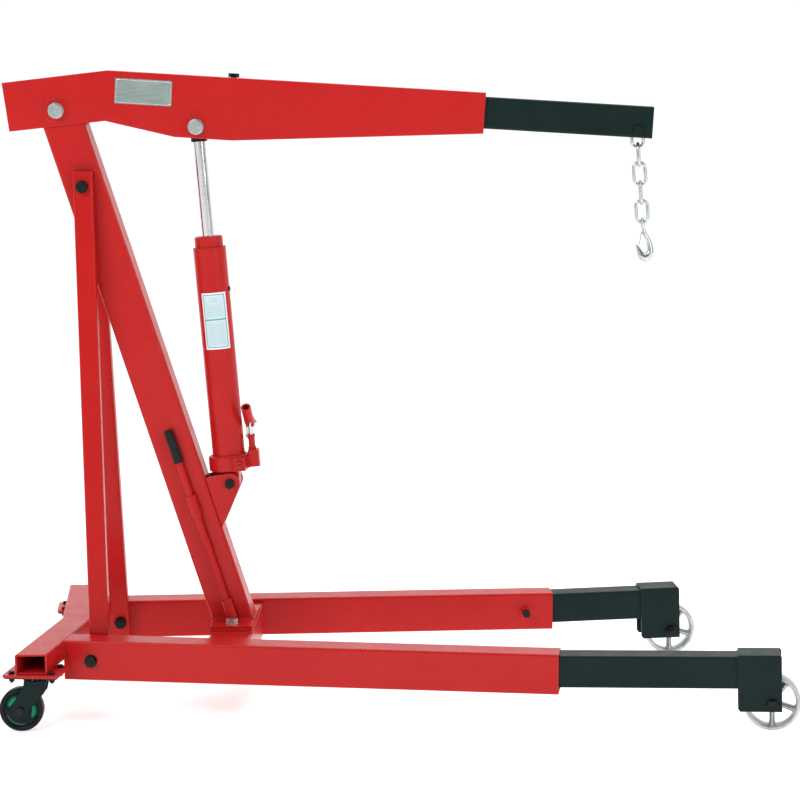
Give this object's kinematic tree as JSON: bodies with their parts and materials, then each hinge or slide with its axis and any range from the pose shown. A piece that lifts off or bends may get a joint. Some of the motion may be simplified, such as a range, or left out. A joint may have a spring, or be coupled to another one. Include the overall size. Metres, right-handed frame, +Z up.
{
  "type": "engine hoist crane",
  "caption": "Wheeled workshop crane: a hand-pumped hydraulic ram lifts a telescoping boom with chain and hook over splayed legs that slide out.",
  "frame": {"origin": "on the floor, under the middle of the machine's bounding box in the pose of the picture", "axes": "+X forward to the hook, +Y to the machine's left, +Z up"},
  "size_m": [1.8036, 0.8247, 1.4814],
  "materials": {
    "red_paint": "gloss",
    "black_paint": "satin",
    "grey_cast": "gloss",
    "chrome_steel": "polished",
    "zinc": "zinc-plated",
    "dark_steel": "black oxide",
    "black_plastic": "matt",
    "black_rubber": "matt",
    "plate_metal": "brushed",
    "label_print": "printed film",
    "pale_steel": "polished"
  },
  "bodies": {
    "frame": {"rear_beam": "red_paint", "cross_member": "red_paint", "foot_plates": "red_paint", "foot_bolts": "zinc", "mast": "red_paint", "brace_bolts": "dark_steel", "ram_gussets": "red_paint", "ram_lower_pin": "dark_steel", "handle_sleeves": "red_paint", "caster_mounting_plates": "red_paint", "caster_plate_bolts": "dark_steel", "caster_top_plates": "black_paint", "swivel_balls": "pale_steel", "boom_pivot_bolt": "zinc", "right_leg": "red_paint", "left_leg": "red_paint", "right_brace": "red_paint", "left_brace": "red_paint"},
    "boom": {"boom": "red_paint", "ram_upper_pin": "zinc", "nameplate": "plate_metal"},
    "boom_lock_bolt": {"boom_lock_bolt": "dark_steel"},
    "boom_extension": {"boom_extension": "black_paint", "hook_bolt": "dark_steel"},
    "ram": {"ram_cylinder": "red_paint", "ram_collar": "red_paint", "ram_base": "red_paint", "filler_plug": "dark_steel", "cylinder_label": "label_print", "pump_barrel": "red_paint", "pump_links": "zinc"},
    "ram_rod": {"ram_rod": "chrome_steel", "rod_head": "dark_steel", "ram_piston": "dark_steel"},
    "release_valve": {"release_valve": "red_paint"},
    "pump_lever": {"pump_lever": "red_paint"},
    "pump_plunger": {"pump_plunger": "pale_steel"},
    "pump_handle": {"pump_handle": "red_paint", "handle_grip": "black_rubber"},
    "hook": {"hook": "zinc"},
    "hook_latch": {"hook_latch": "zinc"},
    "chain_link_1": {"chain_link_1": "zinc"},
    "chain_link_2": {"chain_link_2": "zinc"},
    "chain_link_3": {"chain_link_3": "zinc"},
    "chain_link_4": {"chain_link_4": "zinc"},
    "chain_link_5": {"chain_link_5": "zinc"},
    "right_leg_extension": {"right_slide": "black_paint", "right_front_axle": "dark_steel"},
    "right_front_wheel": {"right_front_wheel": "grey_cast"},
    "right_leg_screw": {"right_leg_screw": "dark_steel"},
    "right_caster": {"right_caster_fork": "black_paint", "right_caster_axle": "dark_steel"},
    "right_caster_wheel": {"right_caster_wheel": "black_plastic"},
    "left_leg_extension": {"left_slide": "black_paint", "left_front_axle": "dark_steel"},
    "left_front_wheel": {"left_front_wheel": "grey_cast"},
    "left_leg_screw": {"left_leg_screw": "dark_steel"},
    "left_caster": {"left_caster_fork": "black_paint", "left_caster_axle": "dark_steel"},
    "left_caster_wheel": {"left_caster_wheel": "black_plastic"}
  },
  "joints": [
    {"name": "boom_lift", "type": "hinge", "parent": "frame", "child": "boom", "pos_m": [-0.7753, 0, 1.3911], "axis": [0, -1, 0], "range_deg": [-10, 35]},
    {"name": "boom_lock_screw", "type": "hinge", "parent": "boom", "child": "boom_lock_bolt", "pos_m": [-0.366, 0, 1.45987], "axis": [0.0743, 0, 0.9972], "range_deg": [0, 720]},
    {"name": "boom_reach", "type": "slide", "parent": "boom", "child": "boom_extension", "axis": [0.9972, 0, -0.0743], "range_m": [-0.25, 0]},
    {"name": "ram_tilt", "type": "hinge", "parent": "frame", "child": "ram", "pos_m": [-0.3956, 0, 0.5118], "axis": [0, -1, 0], "range_deg": [-1, 1]},
    {"name": "ram_stroke", "type": "slide", "parent": "ram", "child": "ram_rod", "axis": [-0.0677, 0, 0.9977], "range_m": [-0.06, 0.2]},
    {"name": "release_valve_turn", "type": "hinge", "parent": "ram", "child": "release_valve", "pos_m": [-0.37078, 0, 0.55959], "axis": [0, -1, 0], "range_deg": [0, 360]},
    {"name": "pump_lever_stroke", "type": "hinge", "parent": "ram", "child": "pump_lever", "pos_m": [-0.34717, 0.01999, 0.6504], "axis": [-0.9971, 0.0349, -0.0677], "range_deg": [-30, 15]},
    {"name": "pump_plunger_stroke", "type": "slide", "parent": "ram", "child": "pump_plunger", "axis": [-0.0677, 0, 0.9977], "range_m": [-0.0115, 0.0058]},
    {"name": "pump_handle_stow", "type": "slide", "parent": "frame", "child": "pump_handle", "axis": [-0.2961, 0, 0.9552], "range_m": [0, 0.42]},
    {"name": "chain_link_1_swing", "type": "hinge", "parent": "boom_extension", "child": "chain_link_1", "pos_m": [0.5668, 0, 1.3265], "axis": [0, 1, 0], "range_deg": [-11, 20]},
    {"name": "chain_link_2_swing", "type": "hinge", "parent": "chain_link_1", "child": "chain_link_2", "pos_m": [0.56927, 0, 1.28487], "axis": [0.9982, 0, 0.0593], "range_deg": [-35, 35]},
    {"name": "chain_link_3_swing", "type": "hinge", "parent": "chain_link_2", "child": "chain_link_3", "pos_m": [0.57186, 0, 1.24125], "axis": [0, 1, 0], "range_deg": [-35, 35]},
    {"name": "chain_link_4_swing", "type": "hinge", "parent": "chain_link_3", "child": "chain_link_4", "pos_m": [0.57446, 0, 1.19763], "axis": [0.9982, 0, 0.0593], "range_deg": [-35, 35]},
    {"name": "chain_link_5_swing", "type": "hinge", "parent": "chain_link_4", "child": "chain_link_5", "pos_m": [0.57705, 0, 1.154], "axis": [0, 1, 0], "range_deg": [-35, 35]},
    {"name": "hook_swing", "type": "hinge", "parent": "chain_link_5", "child": "hook", "pos_m": [0.57964, 0, 1.11038], "axis": [0.9982, 0, 0.0593], "range_deg": [-35, 35]},
    {"name": "hook_latch_spring", "type": "hinge", "parent": "hook", "child": "hook_latch", "pos_m": [0.58008, 0, 1.08616], "axis": [0, 1, 0], "range_deg": [-30, 0], "stiffness_Nm_per_rad": 0.05, "springref_deg": 20.05},
    {"name": "right_leg_reach", "type": "slide", "parent": "frame", "child": "right_leg_extension", "axis": [0.9946, -0.1034, 0.0114], "range_m": [-0.25, 0]},
    {"name": "right_front_wheel_roll", "type": "hinge", "parent": "right_leg_extension", "child": "right_front_wheel", "pos_m": [0.83912, -0.3713, 0.0635], "axis": [-0.1034, -0.9946, 0], "continuous": true},
    {"name": "right_leg_screw_turn", "type": "hinge", "parent": "frame", "child": "right_leg_screw", "pos_m": [0.29978, -0.31521, 0.1242], "axis": [-0.1034, -0.9946, 0], "range_deg": [0, 720]},
    {"name": "right_caster_swivel", "type": "hinge", "parent": "frame", "child": "right_caster", "pos_m": [-0.815, -0.334, 0.1], "axis": [0, 0, 1], "continuous": true},
    {"name": "right_caster_roll", "type": "hinge", "parent": "right_caster", "child": "right_caster_wheel", "pos_m": [-0.85, -0.334, 0.05], "axis": [0, 1, 0], "continuous": true},
    {"name": "left_leg_reach", "type": "slide", "parent": "frame", "child": "left_leg_extension", "axis": [0.9946, 0.1034, 0.0114], "range_m": [-0.077, 0.173]},
    {"name": "left_front_wheel_roll", "type": "hinge", "parent": "left_leg_extension", "child": "left_front_wheel", "pos_m": [0.66704, 0.3534, 0.0635], "axis": [-0.1034, 0.9946, 0], "continuous": true},
    {"name": "left_leg_screw_turn", "type": "hinge", "parent": "frame", "child": "left_leg_screw", "pos_m": [0.29978, 0.31521, 0.1242], "axis": [-0.1034, 0.9946, 0], "range_deg": [0, 720]},
    {"name": "left_caster_swivel", "type": "hinge", "parent": "frame", "child": "left_caster", "pos_m": [-0.815, 0.334, 0.1], "axis": [0, 0, 1], "continuous": true},
    {"name": "left_caster_roll", "type": "hinge", "parent": "left_caster", "child": "left_caster_wheel", "pos_m": [-0.85, 0.334, 0.05], "axis": [0, 1, 0], "continuous": true}
  ],
  "couplings": [
    {"joint": "ram_tilt", "follows": "boom_lift", "ratio": 0.0075},
    {"joint": "ram_stroke", "follows": "boom_lift", "m_per_rad": 0.312},
    {"joint": "pump_plunger_stroke", "follows": "pump_lever_stroke", "m_per_rad": 0.02}
  ]
}
